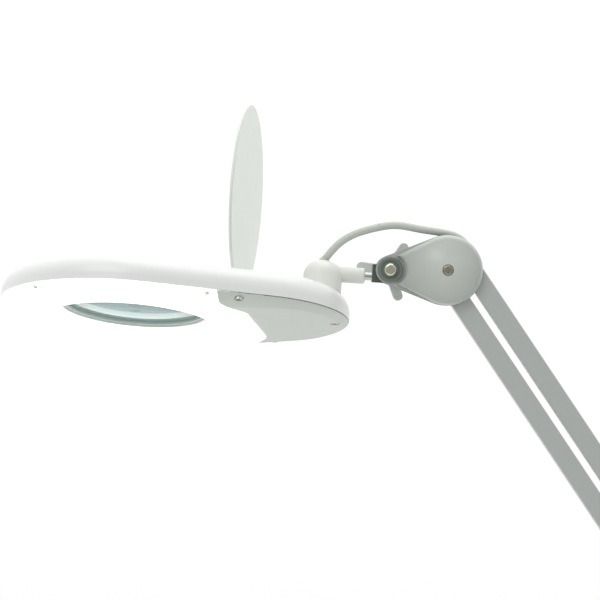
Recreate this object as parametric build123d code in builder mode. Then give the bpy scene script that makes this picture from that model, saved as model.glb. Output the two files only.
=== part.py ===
from build123d import *
from math import atan2, cos, degrees, pi, radians, sin, tan
import os

os.makedirs("parts", exist_ok=True)

# Magnifying lamp on a table clamp. Millimetres, +Z up.
# The origin is on the mounting pin's axis, in the plane of the table top that the clamp grips.
# The arms move in the XZ plane. The head reaches over the table towards -X.

# ---- arms ----
ARM_LENGTH = 400.0          # pivot to pivot
TUBE = 17.0                 # square tube, across
TUBE_WALL = 1.2
TUBE_PITCH = 23.6           # between the centre lines of an arm's two tubes
LOWER_LEAN = 25.0           # degrees from upright, away from the table
UPPER_LEAN = 33.7           # degrees from upright, back over the table
BASE_PIVOT_Z = 92.0
ELBOW_STEP = 46.0           # between the two pairs of elbow pivots
PIN_R = 2.5
RUNNING = 0.05              # radial clearance of every running fit
PLATE_IN = 9.2              # inner face of the side plates, from the arm plane
PLATE_OUT = 11.2
COVER_OUT = 17.6            # outer face of the plastic side covers

# ---- arm end ----
ARM_END_R = 30.2            # round end of the drop-shaped cover
ARM_END_TIP_R = 8.4         # the cover's lines run to this radius at the tilt axis
TILT_FROM_CENTRE = (-49.5, 0.5)
WASHER_R = 11.0

# ---- head, in its own frame: x to the rear, z up through the lens ----
TILT = 4.15                 # droop of the pin, degrees
ROLL = 13.9                 # underside turned to the front, degrees
YAW = 11.2                  # nose turned to the back, degrees
NOSE_R = 117.0
TAIL_R = 78.0
TAIL_X = 113.0
SEAM_Z = 9.5
TOP_Z = 33.5
SEAT_Z = 31.0
CROWN_R = 18.0
SHELL_WALL = 2.5
APERTURE_R = 74.0
LENS_R = 63.5
LENS_Z = 18.25
SWIVEL_X = 166.3            # swivel axis behind the lens centre
SWIVEL_Z = 49.4             # pin axis above the underside
REAR_COVER_X = 111.5
LEG_END_X = 94.0
DIFFUSER_SCREWS = ((86.5, 88.3), (86.5, -88.3), (-59.2, 95.8), (-59.2, -95.8))

# ---- lens cover ----
LID_R = 82.0
LID_HINGE_X = 91.0
LID_HINGE_Z = TOP_Z + 3.6
LID_CENTRE_Z = 117.0
LID_TWIST = 3.6
LID_LEAN = 1.2

# ---- leads ----
LEAD_D = 6.5
INNER_LEAD_D = 4.6


def side_plane(y):
    """Plane at a distance y from the arm plane, drawn in X and Z. It faces -Y."""
    return Plane.XZ.offset(-y)


def along(point, direction, distance):
    return (point[0] + direction[0] * distance, point[1] + direction[1] * distance)


lower_dir = (sin(radians(LOWER_LEAN)), cos(radians(LOWER_LEAN)))
lower_norm = (cos(radians(LOWER_LEAN)), -sin(radians(LOWER_LEAN)))
upper_dir = (-sin(radians(UPPER_LEAN)), cos(radians(UPPER_LEAN)))
upper_norm = (cos(radians(UPPER_LEAN)), sin(radians(UPPER_LEAN)))

base_mid = (0.0, BASE_PIVOT_Z)
elbow_low = along(base_mid, lower_dir, ARM_LENGTH)
elbow_high = (elbow_low[0], elbow_low[1] + ELBOW_STEP)
head_mid = along(elbow_high, upper_dir, ARM_LENGTH)
arm_end = along(head_mid, upper_norm, -6.5)
tilt_axis = (arm_end[0] + TILT_FROM_CENTRE[0], arm_end[1] + TILT_FROM_CENTRE[1])

base_main = along(base_mid, lower_norm, -TUBE_PITCH / 2)
base_rod = along(base_mid, lower_norm, TUBE_PITCH / 2)
low_main = along(elbow_low, lower_norm, -TUBE_PITCH / 2)
low_rod = along(elbow_low, lower_norm, TUBE_PITCH / 2)
high_main = along(elbow_high, upper_norm, -TUBE_PITCH / 2)
high_rod = along(elbow_high, upper_norm, TUBE_PITCH / 2)
end_main = along(head_mid, upper_norm, -TUBE_PITCH / 2)
end_rod = along(head_mid, upper_norm, TUBE_PITCH / 2)

pin_dir = Vector(cos(radians(TILT)), 0, -sin(radians(TILT)))
pin_up = Vector(sin(radians(TILT)), 0, cos(radians(TILT)))
far = Vector(0, 1, 0)
head_up = pin_up * cos(radians(ROLL)) + far * sin(radians(ROLL))
level_far = far * cos(radians(ROLL)) - pin_up * sin(radians(ROLL))
head_back = pin_dir * cos(radians(YAW)) - level_far * sin(radians(YAW))
head_far = pin_dir * sin(radians(YAW)) + level_far * cos(radians(YAW))

PIN_DROP = 7.0
PIN_TO_SWIVEL = 57.6
tilt_point = Vector(tilt_axis[0], 0, tilt_axis[1])
pin_origin = tilt_point - pin_up * PIN_DROP
swivel_point = pin_origin - pin_dir * PIN_TO_SWIVEL
lens_point = swivel_point - head_back * SWIVEL_X - head_up * SWIVEL_Z
HEAD = Plane(origin=lens_point, x_dir=head_back, z_dir=head_up)


def block_plane(y):
    """Plane of the tilt block at a distance y, x along the pin and y across it."""
    return Plane(origin=tilt_point + far * y, x_dir=pin_dir, z_dir=(0, -1, 0))


def pin_plane(distance):
    """Plane square to the pin, at a distance along it from the tilt axis."""
    return Plane(origin=pin_origin + pin_dir * distance, x_dir=(0, 1, 0), z_dir=pin_dir)


def save(part, name):
    part.label = name
    export_step(part, "parts/" + name + ".step")


def slot_location(a, b):
    middle = ((a[0] + b[0]) / 2, (a[1] + b[1]) / 2, 0)
    return Location(middle, (0, 0, degrees(atan2(b[1] - a[1], b[0] - a[0]))))


# =====================================================================
# Arm tubes
# =====================================================================

def arm_tube(a, b):
    """Square tube, open at both ends, with cheeks rounded about its two pivots."""
    with BuildPart() as tube:
        with BuildSketch(side_plane(TUBE / 2)):
            with Locations(slot_location(a, b)):
                SlotCenterToCenter(ARM_LENGTH, TUBE)
        extrude(amount=TUBE)
        fillet(tube.edges().group_by(Axis.Y)[0] + tube.edges().group_by(Axis.Y)[-1], 1.2)
        with BuildSketch(side_plane(TUBE / 2 - TUBE_WALL)):
            with Locations(slot_location(a, b)):
                Rectangle(ARM_LENGTH + TUBE + 4, TUBE - 2 * TUBE_WALL)
        extrude(amount=TUBE - 2 * TUBE_WALL, mode=Mode.SUBTRACT)
        with BuildSketch(side_plane(TUBE)):
            with Locations(a, b):
                Circle(PIN_R + RUNNING)
        extrude(amount=2 * TUBE, mode=Mode.SUBTRACT)
    return tube.part


def inner_lead(a, b, norm, side):
    """Lead lying along the inner wall of a tube, past both pivot pins."""
    start = along(a, norm, side * 4.9)
    finish = along(b, norm, side * 4.9)
    direction = Vector(finish[0] - start[0], 0, finish[1] - start[1])
    begin = Vector(start[0], 0, start[1]) - direction.normalized() * 4
    with BuildPart() as lead:
        with BuildSketch(Plane(origin=begin, x_dir=(0, 1, 0), z_dir=direction)):
            Circle(INNER_LEAD_D / 2)
        extrude(amount=direction.length + 8)
    return lead.part


def arm_spring(a, b, turns):
    """Close-wound balance spring lying in the middle of a tube."""
    direction = Vector(b[0] - a[0], 0, b[1] - a[1]).normalized()
    origin = Vector(a[0], 0, a[1]) + direction * 60
    frame = Plane(origin=origin, x_dir=(0, 1, 0), z_dir=direction)
    with BuildPart() as spring:
        with BuildLine():
            coil = Helix(pitch=8.0, height=8.0 * turns, radius=5.0)
        with BuildSketch(Plane(origin=coil @ 0, z_dir=coil % 0)):
            Circle(0.9)
        sweep(path=coil)
    with BuildPart() as placed:
        add(spring.part.moved(frame.location))
    return placed.part


upper_arm_tube = arm_tube(high_main, end_main)
upper_rod_tube = arm_tube(high_rod, end_rod)
lower_arm_tube = arm_tube(base_main, low_main)
lower_rod_tube = arm_tube(base_rod, low_rod)
save(upper_arm_tube, "upper_arm_tube")
save(upper_rod_tube, "upper_rod_tube")
save(lower_arm_tube, "lower_arm_tube")
save(lower_rod_tube, "lower_rod_tube")
save(inner_lead(high_rod, end_rod, upper_norm, 1), "upper_arm_lead")
save(inner_lead(base_rod, low_rod, lower_norm, 1), "lower_arm_lead")
save(arm_spring(high_main, end_main, 20), "upper_arm_spring")
save(arm_spring(base_main, low_main, 26), "lower_arm_spring")


# =====================================================================
# Pivot pins and side plates
# =====================================================================

def pivot_pins(points, plain=()):
    """Headed pins through both side plates with hexagon nuts, and plain pins flush with them."""
    with BuildPart() as pins:
        for point in plain:
            with BuildSketch(side_plane(PLATE_OUT)):
                with Locations(point):
                    Circle(PIN_R)
            extrude(amount=2 * PLATE_OUT)
        for point in points:
            with BuildSketch(side_plane(PLATE_OUT + 3.0)):
                with Locations(point):
                    Circle(PIN_R)
            extrude(amount=2 * PLATE_OUT + 3.0)
            with BuildSketch(side_plane(-PLATE_OUT)):
                with Locations(point):
                    Circle(4.2)
            extrude(amount=2.2)
            with BuildSketch(side_plane(PLATE_OUT + 2.4)):
                with Locations(point):
                    RegularPolygon(4.4, 6)
            extrude(amount=2.4)
    return pins.part


def plate_pair(points, radii, holes):
    """Two equal steel plates, one at each side of the tubes."""
    with BuildPart() as plates:
        for face in (PLATE_OUT, -PLATE_IN):
            with BuildSketch(side_plane(face)):
                for point, radius in zip(points, radii):
                    with Locations(point):
                        Circle(radius)
                make_hull()
                for point, radius in holes:
                    with Locations(point):
                        Circle(radius, mode=Mode.SUBTRACT)
            extrude(amount=PLATE_OUT - PLATE_IN)
    return plates.part


def side_cover(points, radii, sign, screws, notch=None, edge=5.0):
    """Hollow plastic cover over one side plate, with a boss round each screw."""
    inner = PLATE_OUT
    outer = COVER_OUT
    depth = outer - inner
    start = outer if sign > 0 else -inner
    with BuildPart() as cover:
        with BuildSketch(side_plane(start)):
            for point, radius in zip(points, radii):
                with Locations(point):
                    Circle(radius)
            make_hull()
            if notch:
                with Locations(notch[0]):
                    Circle(notch[1], mode=Mode.SUBTRACT)
        extrude(amount=depth)
        rim = cover.faces().sort_by(Axis.Y)[-1 if sign > 0 else 0].edges()
        fillet(rim, edge)
        low = outer - 2.0 if sign > 0 else -inner
        with BuildSketch(side_plane(low)):
            for point, radius in zip(points, radii):
                with Locations(point):
                    Circle(radius - 4.2)
            make_hull()
            if notch:
                with Locations(notch[0]):
                    Circle(notch[1] + 2.0, mode=Mode.SUBTRACT)
            for screw in screws:
                with Locations(screw):
                    Circle(5.4, mode=Mode.SUBTRACT)
        extrude(amount=depth - 2.0, mode=Mode.SUBTRACT)
        with BuildSketch(side_plane(start)):
            with Locations(*screws):
                Circle(2.1)
        extrude(amount=depth, mode=Mode.SUBTRACT)
        recess = outer if sign > 0 else -outer + 1.8
        with BuildSketch(side_plane(recess)):
            with Locations(*screws):
                Circle(4.9)
        extrude(amount=1.8, mode=Mode.SUBTRACT)
    return cover.part


def cover_screws(screws, sides=(-1, 1)):
    """Cross-head cover screws from both sides, ending in the side plates."""
    with BuildPart() as group:
        for sign in sides:
            seat = COVER_OUT - 1.8
            shank_top = seat if sign > 0 else -PLATE_IN
            with BuildSketch(side_plane(shank_top)):
                with Locations(*screws):
                    Circle(2.0)
            extrude(amount=seat - PLATE_IN)
            head_top = seat + 2.4 if sign > 0 else -seat
            with BuildSketch(side_plane(head_top)):
                with Locations(*screws):
                    Circle(4.5)
            extrude(amount=2.4)
            faces = group.faces().sort_by(Axis.Y)[-len(screws):]
            if sign < 0:
                faces = group.faces().sort_by(Axis.Y)[:len(screws)]
            fillet(faces.edges(), 1.4)
            slot_top = seat + 2.4 if sign > 0 else -seat - 1.2
            with BuildSketch(side_plane(slot_top)):
                with Locations(*screws):
                    Rectangle(4.4, 0.9)
                    Rectangle(0.9, 4.4)
            extrude(amount=1.2, mode=Mode.SUBTRACT)
    return group.part


# ---- elbow ----
elbow_points = (elbow_low, elbow_high)
elbow_screw_points = (along(elbow_low, (1, 0), 0.5), along(elbow_high, (1, 0), 0.5))
elbow_holes = [(p, PIN_R) for p in (low_main, low_rod, high_main, high_rod)]
elbow_holes += [(p, 2.0) for p in elbow_screw_points]
save(plate_pair(elbow_points, (24.0, 24.0), elbow_holes), "elbow_plates")
save(pivot_pins((low_main, low_rod, high_main, high_rod)), "elbow_pins")
save(side_cover(elbow_points, (25.5, 25.5), -1, elbow_screw_points), "elbow_cover_near")
save(side_cover(elbow_points, (25.5, 25.5), 1, elbow_screw_points), "elbow_cover_far")
save(cover_screws(elbow_screw_points), "elbow_screws")

# ---- arm end ----
end_points = (arm_end, tilt_axis)
end_screw = (arm_end,)
end_holes = [(end_main, PIN_R), (end_rod, PIN_R), (arm_end, 2.0), (tilt_axis, 4.0)]
save(plate_pair(end_points, (30.6, 12.4), end_holes), "arm_end_plates")
save(pivot_pins((end_rod,), (end_main,)), "arm_end_pins")
end_notch = (tilt_axis, 13.4)
cover_radii = (ARM_END_R, ARM_END_TIP_R)
save(side_cover(end_points, cover_radii, -1, end_screw, end_notch, 3.6), "arm_end_cover_near")
save(side_cover(end_points, cover_radii, 1, end_screw, end_notch, 3.6), "arm_end_cover_far")
save(cover_screws(end_screw), "arm_end_screws")

with BuildPart() as friction_washer:
    with BuildSketch(side_plane(-PLATE_OUT)):
        with Locations(tilt_axis):
            Circle(WASHER_R)
            Circle(4.0, mode=Mode.SUBTRACT)
    extrude(amount=2.6)
    fillet(friction_washer.faces().sort_by(Axis.Y)[0].edges(), 0.8)
    with BuildSketch(side_plane(-PLATE_OUT - 1.8)):
        with Locations(tilt_axis):
            Circle(8.2)
            Circle(6.6, mode=Mode.SUBTRACT)
    extrude(amount=1.0, mode=Mode.SUBTRACT)
save(friction_washer.part, "friction_washer")

with BuildPart() as tilt_bolt:
    with BuildSketch(side_plane(28.0)):
        with Locations(tilt_axis):
            Circle(4.0)
    extrude(amount=28.0 + PLATE_OUT + 2.6)
    with BuildSketch(side_plane(-PLATE_OUT - 2.6)):
        with Locations(tilt_axis):
            Circle(5.6)
    extrude(amount=3.2)
    fillet(tilt_bolt.faces().sort_by(Axis.Y)[0].edges(), 2.4)
    with BuildSketch(side_plane(-PLATE_OUT - 4.6)):
        with Locations(tilt_axis):
            RegularPolygon(2.3, 6)
    extrude(amount=2.0, mode=Mode.SUBTRACT)
save(tilt_bolt.part, "tilt_bolt")

# Three-wing hand knob on the far end of the tilt bolt.
with BuildPart() as tilt_knob:
    with BuildSketch(side_plane(29.0)) as wings:
        with Locations(tilt_axis):
            Circle(9.0)
        for turn in (56, 172, 290):
            a = (cos(radians(turn)), sin(radians(turn)))
            with Locations(Location((*along(tilt_axis, a, 12.0), 0), (0, 0, turn))):
                SlotCenterToCenter(24.0, 8.6)
        hub = Vector(*tilt_axis, 0)
        roots = [v for v in wings.vertices() if (Vector(v.X, v.Y, 0) - hub).length < 12.0]
        fillet(roots, 3.0)
    extrude(amount=10.0)
    fillet(tilt_knob.edges().group_by(Axis.Y)[-1], 1.4)
    fillet(tilt_knob.edges().group_by(Axis.Y)[0], 1.0)
    with BuildSketch(side_plane(19.5)):
        with Locations(tilt_axis):
            Circle(7.5)
    extrude(amount=19.5 - PLATE_OUT - 0.3)
    with BuildSketch(side_plane(28.2)):
        with Locations(tilt_axis):
            Circle(4.0 + RUNNING)
    extrude(amount=20.0, mode=Mode.SUBTRACT)
save(tilt_knob.part, "tilt_knob")


# =====================================================================
# Tilt block and pin
# =====================================================================

with BuildPart() as tilt_block:
    with BuildSketch(block_plane(8.9)):
        with Locations((-3.5, -3.9)):
            Rectangle(23.0, 15.8)
        Circle(9.6)
    extrude(amount=17.8)
    fillet(tilt_block.edges().group_by(Axis.Y)[0] + tilt_block.edges().group_by(Axis.Y)[-1], 0.8)
    with BuildSketch(block_plane(20.0)):
        Circle(4.0 + RUNNING)
    extrude(amount=40.0, mode=Mode.SUBTRACT)
    with BuildSketch(pin_plane(-15.5)):
        Circle(3.5)
    extrude(amount=9.0, mode=Mode.SUBTRACT)
save(tilt_block.part, "tilt_block")

with BuildPart() as tilt_pin:
    with BuildSketch(pin_plane(-44.0)):
        Circle(3.5)
    extrude(amount=37.5)
    chamfer(tilt_pin.edges(), 0.5)
save(tilt_pin.part, "tilt_pin")


# =====================================================================
# Swivel dome with its sleeve
# =====================================================================

# The lead leaves the top of the dome on a slant towards the arm.
exit_point = swivel_point + head_up * 10.4
exit_aim = Vector(arm_end[0] - 90.5, 0, arm_end[1] + 24.6)
exit_dir = (exit_aim - exit_point).normalized()


def exit_plane(distance):
    return Plane(origin=exit_point + exit_dir * distance, x_dir=(0, 1, 0), z_dir=exit_dir)


with BuildPart() as swivel_dome:
    with BuildSketch(HEAD.offset(SEAT_Z + 0.4)):
        with Locations((SWIVEL_X, 0)):
            Circle(16.9)
    extrude(amount=SWIVEL_Z + 10.4 - SEAT_Z - 0.4)
    fillet(swivel_dome.faces().sort_by(Axis.Z)[-1].edges(), 13.2)
    with BuildSketch(pin_plane(-PIN_TO_SWIVEL)):
        Circle(6.9)
    extrude(amount=PIN_TO_SWIVEL - 21.0)
    fillet(swivel_dome.faces().sort_by(Axis.X)[-1].edges(), 2.0)
    with BuildSketch(HEAD.offset(SEAT_Z + 0.3)):
        with Locations((SWIVEL_X, 0)):
            Circle(14.0)
    extrude(amount=8.0, mode=Mode.SUBTRACT)
    with BuildSketch(HEAD.offset(SEAT_Z + 6)):
        with Locations((SWIVEL_X, 0)):
            Circle(6.0 + RUNNING)
    extrude(amount=9.0, mode=Mode.SUBTRACT)
    with BuildSketch(pin_plane(-44.3)):
        Circle(3.5 + RUNNING)
    extrude(amount=30.0, mode=Mode.SUBTRACT)
    with BuildSketch(HEAD.offset(SEAT_Z + 10)):
        with Locations((SWIVEL_X, 0)):
            Circle(4.0)
    extrude(amount=10.0, mode=Mode.SUBTRACT)
    with BuildSketch(exit_plane(-1.5)):
        Circle(4.4)
    extrude(amount=12.0, mode=Mode.SUBTRACT)
    with BuildSketch(exit_plane(-12.0)):
        Circle(3.55)
    extrude(amount=12.0, mode=Mode.SUBTRACT)
save(swivel_dome.part, "swivel_dome")

# Hollow stud on which the dome turns, held under the shell by a nut.
with BuildPart() as swivel_stud:
    with BuildSketch(HEAD.offset(SEAT_Z - 8.5)):
        with Locations((SWIVEL_X, 0)):
            Circle(6.0)
    extrude(amount=22.0)
    with BuildSketch(HEAD.offset(SEAT_Z)):
        with Locations((SWIVEL_X, 0)):
            Circle(13.0)
    extrude(amount=3.0)
    with BuildSketch(HEAD.offset(SEAT_Z - 7.5)):
        with Locations((SWIVEL_X, 0)):
            RegularPolygon(9.0, 6)
    extrude(amount=5.0)
    with BuildSketch(HEAD.offset(SEAT_Z - 20)):
        with Locations((SWIVEL_X, 0)):
            Circle(3.9)
    extrude(amount=60.0, mode=Mode.SUBTRACT)
save(swivel_stud.part, "swivel_stud")


# =====================================================================
# Head
# =====================================================================

def outline(inset):
    """Sketch of the head's outline: a large round nose drawn back to a smaller round tail."""
    Circle(NOSE_R - inset)
    with Locations((TAIL_X, 0)):
        Circle(TAIL_R - inset)
    make_hull()


# Hollow of the top shell, a wall inside its outer form, left thick under the swivel.
with BuildPart() as head_cavity:
    with BuildSketch(HEAD.offset(SEAM_Z - 1.0)):
        outline(SHELL_WALL)
    extrude(amount=TOP_Z - SHELL_WALL - SEAM_Z + 1.0)
    upper = head_cavity.faces().sort_by(Axis((0, 0, 0), tuple(head_up)))[-1]
    fillet(upper.edges(), CROWN_R - SHELL_WALL)
    with BuildSketch(HEAD.offset(SEAT_Z - SHELL_WALL)):
        with Locations((SWIVEL_X, 0)):
            Circle(20.0)
    extrude(amount=20.0, mode=Mode.SUBTRACT)

with BuildPart() as head_top_shell:
    with BuildSketch(HEAD.offset(SEAM_Z)):
        outline(0)
    extrude(amount=TOP_Z - SEAM_Z)
    upper = head_top_shell.faces().sort_by(Axis((0, 0, 0), tuple(head_up)))[-1]
    fillet(upper.edges(), CROWN_R)
    add(head_cavity.part, mode=Mode.SUBTRACT)
    # Sunk seat for the swivel.
    with BuildSketch(HEAD.offset(SEAT_Z)):
        with Locations((SWIVEL_X, 0)):
            Circle(17.5)
    extrude(amount=20.0, mode=Mode.SUBTRACT)
    # Collar that carries the lens.
    with BuildSketch(HEAD.offset(12.0)):
        Circle(67.0)
        Circle(LENS_R + 0.2, mode=Mode.SUBTRACT)
    extrude(amount=8.3)
    with BuildSketch(HEAD.offset(20.3)):
        Circle(67.0)
        Circle(61.5, mode=Mode.SUBTRACT)
    extrude(amount=TOP_Z - 20.3)
    with BuildSketch(HEAD.offset(20.3)):
        Circle(61.5)
    extrude(amount=30.0, mode=Mode.SUBTRACT)
    # Bosses for the diffuser's screws.
    with BuildSketch(HEAD.offset(SEAM_Z)):
        with Locations(*DIFFUSER_SCREWS):
            Circle(3.4)
            Circle(1.4, mode=Mode.SUBTRACT)
    extrude(amount=8.0)
    # Bead round the opening.
    with BuildSketch(HEAD.offset(TOP_Z)):
        Circle(65.5)
        Circle(61.5, mode=Mode.SUBTRACT)
    extrude(amount=0.8)
    with BuildSketch(HEAD.offset(0)):
        with Locations((SWIVEL_X, 0)):
            Circle(6.0)
    extrude(amount=60.0, mode=Mode.SUBTRACT)
    # Switch opening.
    with BuildSketch(HEAD.offset(TOP_Z - 5)):
        with Locations((128.0, 0)):
            Rectangle(19.0, 13.0)
    extrude(amount=12.0, mode=Mode.SUBTRACT)
save(head_top_shell.part, "head_top_shell")

# The lower body: one shallow dished form, parted into the diffuser and the rear cover.
PROFILE = ((SEAM_Z - 0.7, 0.4), (8.3, 0.9), (5.6, 5.4), (2.7, 13.0), (0.7, 21.5), (0.0, 26.0))


def lower_form(shift, inset):
    with BuildPart() as form:
        for height, step in PROFILE:
            with BuildSketch(HEAD.offset(height + shift)):
                outline(step + inset)
        loft()
    return form.part


# The part of the outline that the rear cover closes: two short legs and a straight front edge between.
with BuildSketch() as rear_region:
    with BuildLine():
        Polyline((LEG_END_X + 4, -130), (LEG_END_X, -74), (REAR_COVER_X, -43), (REAR_COVER_X, 43),
                 (LEG_END_X, 74), (LEG_END_X + 4, 130), (240, 130), (240, -130), close=True)
    make_face()
    fillet(rear_region.vertices().filter_by(lambda v: v.X < 120 and abs(v.Y) < 100), 7.0)


outer_form = lower_form(0, 0)
inner_form = lower_form(2.0, 1.6)

with BuildPart() as diffuser:
    add(outer_form)
    add(inner_form, mode=Mode.SUBTRACT)
    with BuildSketch(HEAD.offset(-5)):
        add(offset(rear_region.sketch, 0.3, mode=Mode.PRIVATE))
    extrude(amount=30, mode=Mode.SUBTRACT)
    with BuildSketch(HEAD.offset(-5)):
        Circle(APERTURE_R)
    extrude(amount=30, mode=Mode.SUBTRACT)
    # Wall of the well, leaning in towards the lens.
    with BuildSketch(Plane(origin=lens_point, x_dir=head_back, z_dir=-head_far)):
        with BuildLine():
            Polyline((APERTURE_R, 0), (APERTURE_R + 2, 0), (69.0, 11.8), (67.2, 11.8), close=True)
        make_face()
    revolve(axis=Axis(tuple(lens_point), tuple(head_up)))
    with BuildSketch(HEAD.offset(-5)):
        with Locations(*DIFFUSER_SCREWS):
            Circle(1.6)
    extrude(amount=30, mode=Mode.SUBTRACT)
    with BuildSketch(HEAD.offset(-5)):
        with Locations(*DIFFUSER_SCREWS):
            Circle(2.4)
    extrude(amount=12.2, mode=Mode.SUBTRACT)
save(diffuser.part, "diffuser")

with BuildPart() as rear_lower_cover:
    add(outer_form)
    with BuildSketch(HEAD.offset(-5)):
        add(rear_region.sketch)
    extrude(amount=30, mode=Mode.INTERSECT)
    # The underside rises a little towards the tail.
    with BuildSketch(Plane(origin=lens_point, x_dir=head_back, z_dir=-head_far)):
        with BuildLine():
            Polyline((60, -6), (90, 0.2), (200, 5.2), (220, -6), close=True)
        make_face()
    extrude(amount=130, both=True, mode=Mode.SUBTRACT)
    with BuildSketch(HEAD.offset(6.0)):
        outline(7.5)
    extrude(amount=10, mode=Mode.SUBTRACT)
    with BuildSketch(HEAD.offset(-5)):
        with Locations((111.5, 77.4), (111.5, -77.4), (180.0, 0)):
            Circle(1.6)
    extrude(amount=30, mode=Mode.SUBTRACT)
    with BuildSketch(HEAD.offset(-5)):
        with Locations((111.5, 77.4), (111.5, -77.4), (180.0, 0)):
            Circle(3.9)
    extrude(amount=11.2, mode=Mode.SUBTRACT)
save(rear_lower_cover.part, "rear_lower_cover")

# Lens: equal convex faces, plain edge.
LENS_SAG = 4.75
LENS_SPHERE = (LENS_R ** 2 + LENS_SAG ** 2) / (2 * LENS_SAG)
with BuildPart() as lens:
    with BuildSketch(Plane(origin=lens_point, x_dir=head_back, z_dir=-head_far)):
        with BuildLine():
            half_edge = 1.7
            low_edge = (LENS_R, LENS_Z - half_edge)
            high_edge = (LENS_R, LENS_Z + half_edge)
            low_mid = (0, LENS_Z - half_edge - LENS_SAG)
            high_mid = (0, LENS_Z + half_edge + LENS_SAG)
            Line(low_mid, high_mid)
            RadiusArc(high_mid, high_edge, LENS_SPHERE)
            Line(high_edge, low_edge)
            RadiusArc(low_edge, low_mid, LENS_SPHERE)
        make_face()
    revolve(axis=Axis(tuple(lens_point), tuple(head_up)))
save(lens.part, "lens")

with BuildPart() as lens_ring:
    with BuildSketch(HEAD.offset(13.6)):
        Circle(LENS_R + 0.2)
        Circle(61.4, mode=Mode.SUBTRACT)
    extrude(amount=LENS_Z - 2.05 - 13.6)
    chamfer(lens_ring.edges().group_by(Axis(tuple(lens_point), tuple(head_up)))[0], 0.5)
save(lens_ring.part, "lens_ring")

# White reflector over the tube.
with BuildPart() as reflector_pan:
    with BuildSketch(HEAD.offset(TOP_Z - SHELL_WALL - 1.0)):
        Circle(98.0)
        Circle(67.0, mode=Mode.SUBTRACT)
    extrude(amount=1.0)
save(reflector_pan.part, "reflector_pan")

TUBE_RING_R = 90.0
TUBE_RING_Z = 17.4
with BuildPart(HEAD.offset(TUBE_RING_Z)) as circular_tube:
    Torus(TUBE_RING_R, 8.0)
save(circular_tube.part, "circular_tube")

with BuildPart() as tube_socket:
    with BuildSketch(HEAD.offset(TUBE_RING_Z)):
        with Locations((TUBE_RING_R + 1, 0)):
            Rectangle(22.0, 34.0)
        Circle(67.3, mode=Mode.SUBTRACT)
    extrude(amount=TOP_Z - SHELL_WALL - 1.0 - TUBE_RING_Z)
    with BuildSketch(HEAD.offset(8.2)):
        with Locations((TUBE_RING_R + 1, 0)):
            Rectangle(22.0, 34.0)
    extrude(amount=TUBE_RING_Z - 8.2)
    add(circular_tube.part, mode=Mode.SUBTRACT)
save(tube_socket.part, "tube_socket")

# Spring clips that hold the tube up to the reflector.
with BuildPart() as tube_clips:
    for turn in (75, 180, 285):
        with BuildSketch(HEAD.offset(TUBE_RING_Z)):
            spot = (TUBE_RING_R * cos(radians(turn)), TUBE_RING_R * sin(radians(turn)))
            with Locations(Location((*spot, 0), (0, 0, turn))):
                Rectangle(19.0, 9.0)
        extrude(amount=TOP_Z - SHELL_WALL - 1.0 - TUBE_RING_Z)
    add(circular_tube.part, mode=Mode.SUBTRACT)
save(tube_clips.part, "tube_clips")

with BuildPart() as ballast:
    with BuildSketch(HEAD.offset(12.0)):
        with Locations((130.0, 0)):
            Rectangle(34.0, 64.0)
    extrude(amount=8.0)
    with BuildSketch(HEAD.offset(12.0)):
        with Locations((149.8, 0)):
            Rectangle(5.6, 76.0)
            with Locations((0, 33), (0, -33)):
                Circle(1.8, mode=Mode.SUBTRACT)
    extrude(amount=1.6)
save(ballast.part, "ballast")


def sunk_screws(points, heights, head_r, name):
    """Small cross-head screws driven up from the underside."""
    with BuildPart() as group:
        for point, height in zip(points, heights):
            with BuildSketch(HEAD.offset(height)):
                with Locations(point):
                    Circle(head_r)
            extrude(amount=1.6)
            with BuildSketch(HEAD.offset(height)):
                with Locations(point):
                    Circle(1.4)
            extrude(amount=9.0)
            with BuildSketch(HEAD.offset(height)):
                with Locations(point):
                    Rectangle(head_r * 1.3, 0.6)
                    Rectangle(0.6, head_r * 1.3)
            extrude(amount=0.8, mode=Mode.SUBTRACT)
    save(group.part, name)


rear_points = ((111.5, 77.4), (111.5, -77.4), (180.0, 0))
sunk_screws(rear_points, (4.6, 4.6, 4.6), 3.4, "rear_cover_screws")
sunk_screws(DIFFUSER_SCREWS, (5.6, 5.6, 5.6, 5.6), 2.2, "diffuser_screws")

# ---- lens cover and its hinge ----
# The hinge sits a little off square to the head, and the open cover leans slightly back.
lid_far = head_far * cos(radians(LID_TWIST)) - head_back * sin(radians(LID_TWIST))
hinge_back = head_back * cos(radians(LID_TWIST)) + head_far * sin(radians(LID_TWIST))
lid_back = hinge_back * cos(radians(LID_LEAN)) - head_up * sin(radians(LID_LEAN))
hinge_foot = lens_point + head_back * LID_HINGE_X + head_up * LID_HINGE_Z
LID_FACE = Plane(origin=hinge_foot, x_dir=lid_far, z_dir=lid_back)
LID_CENTRE = (0, LID_CENTRE_Z - LID_HINGE_Z)


def hinge_plane(y):
    """Plane square to the cover's hinge, from its axis, x to the rear and y up. It faces the near side."""
    return Plane(origin=hinge_foot + lid_far * y, x_dir=hinge_back, z_dir=-lid_far)


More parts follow.
